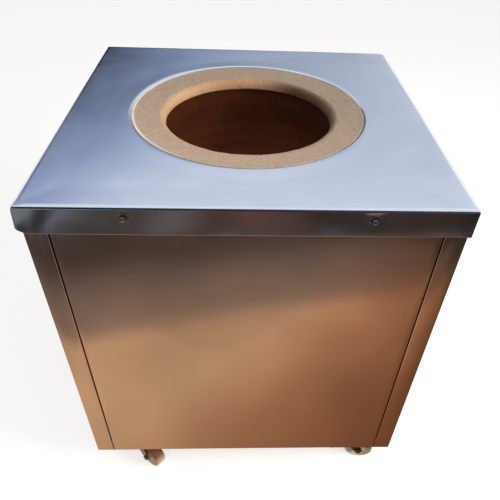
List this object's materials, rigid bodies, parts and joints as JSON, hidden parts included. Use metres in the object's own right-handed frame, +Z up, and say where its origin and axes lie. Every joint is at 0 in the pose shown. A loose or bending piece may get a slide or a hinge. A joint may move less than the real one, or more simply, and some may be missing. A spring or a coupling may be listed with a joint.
{
  "type": "charcoal tandoor oven",
  "caption": "Square steel cabinet on swivel castors holding an insulated clay pot, its round collared mouth level with the deck, with a sliding damper door low on the back.",
  "frame": {"origin": "on the floor, under the centre of the mouth, which is the middle of the cabinet", "axes": "+Z up out of the mouth, the front faces -Y, +X to the right seen from the front"},
  "size_m": [0.7732, 0.778, 0.8615],
  "materials": {
    "deck_steel": "stainless sheet, 2B mill finish, lightly wiped",
    "panel_steel": "stainless sheet, soft satin reflections",
    "frame_steel": "mild steel angle and plate, grey primer",
    "zinc_plate": "bright zinc-plated pressed steel",
    "terracotta": "fired clay, matt, dark inside",
    "fireclay": "sandy fireclay, matt, grainy",
    "cast_iron": "as cast, sooty",
    "ceramic_wool": "white ceramic fibre blanket",
    "loose_fill": "loose exfoliated vermiculite",
    "nylon": "moulded cream nylon",
    "black_knob": "black phenolic"
  },
  "bodies": {
    "cabinet": {"deck": "deck_steel", "deck_screws": "zinc_plate", "deck_washers": "zinc_plate", "left_side_panel": "panel_steel", "right_side_panel": "panel_steel", "front_panel": "panel_steel", "back_panel": "panel_steel", "base_frame": "frame_steel", "top_frame": "frame_steel", "post_front_left": "frame_steel", "post_front_right": "frame_steel", "post_back_left": "frame_steel", "post_back_right": "frame_steel", "base_plate": "frame_steel", "castor_pads": "frame_steel", "castor_bolts": "zinc_plate", "clay_pot": "terracotta", "mouth_collar": "fireclay", "hearth_tile": "fireclay", "fire_grate": "cast_iron", "brick_bed": "fireclay", "wool_blanket": "ceramic_wool", "insulation_fill": "loose_fill", "draught_duct": "frame_steel", "guide_upper": "panel_steel", "guide_lower": "panel_steel", "guide_rivets": "zinc_plate", "kingpins": "zinc_plate", "ball_races": "zinc_plate", "castor_plate_fl": "zinc_plate", "castor_plate_fr": "zinc_plate", "castor_plate_bl": "zinc_plate", "castor_plate_br": "zinc_plate"},
    "damper": {"damper_door": "panel_steel", "damper_knob": "black_knob", "knob_screw": "zinc_plate"},
    "swivel_fl": {"fork_fl": "zinc_plate", "wheel_bush_fl": "zinc_plate", "axle_bolt_fl": "zinc_plate"},
    "roller_fl": {"wheel_fl": "nylon"},
    "swivel_fr": {"fork_fr": "zinc_plate", "wheel_bush_fr": "zinc_plate", "axle_bolt_fr": "zinc_plate"},
    "roller_fr": {"wheel_fr": "nylon"},
    "swivel_bl": {"fork_bl": "zinc_plate", "wheel_bush_bl": "zinc_plate", "axle_bolt_bl": "zinc_plate"},
    "roller_bl": {"wheel_bl": "nylon"},
    "swivel_br": {"fork_br": "zinc_plate", "wheel_bush_br": "zinc_plate", "axle_bolt_br": "zinc_plate"},
    "roller_br": {"wheel_br": "nylon"}
  },
  "joints": [
    {"name": "damper_slide", "type": "slide", "parent": "cabinet", "child": "damper", "axis": [1, 0, 0], "range_m": [0, 0.155]},
    {"name": "front_left_swivel", "type": "hinge", "parent": "cabinet", "child": "swivel_fl", "pos_m": [-0.278, -0.324, 0.1], "axis": [0, 0, 1], "continuous": true},
    {"name": "front_left_roll", "type": "hinge", "parent": "swivel_fl", "child": "roller_fl", "pos_m": [-0.25042, -0.34714, 0.0375], "axis": [0.6428, 0.766, 0], "continuous": true},
    {"name": "front_right_swivel", "type": "hinge", "parent": "cabinet", "child": "swivel_fr", "pos_m": [0.278, -0.324, 0.1], "axis": [0, 0, 1], "continuous": true},
    {"name": "front_right_roll", "type": "hinge", "parent": "swivel_fr", "child": "roller_fr", "pos_m": [0.31345, -0.33025, 0.0375], "axis": [0.1736, 0.9848, 0], "continuous": true},
    {"name": "back_left_swivel", "type": "hinge", "parent": "cabinet", "child": "swivel_bl", "pos_m": [-0.278, 0.324, 0.1], "axis": [0, 0, 1], "continuous": true},
    {"name": "back_left_roll", "type": "hinge", "parent": "swivel_bl", "child": "roller_bl", "pos_m": [-0.24621, 0.3409, 0.0375], "axis": [-0.4695, 0.8829, 0], "continuous": true},
    {"name": "back_right_swivel", "type": "hinge", "parent": "cabinet", "child": "swivel_br", "pos_m": [0.278, 0.324, 0.1], "axis": [0, 0, 1], "continuous": true},
    {"name": "back_right_roll", "type": "hinge", "parent": "swivel_br", "child": "roller_br", "pos_m": [0.24621, 0.3409, 0.0375], "axis": [-0.4695, -0.8829, 0], "continuous": true}
  ]
}
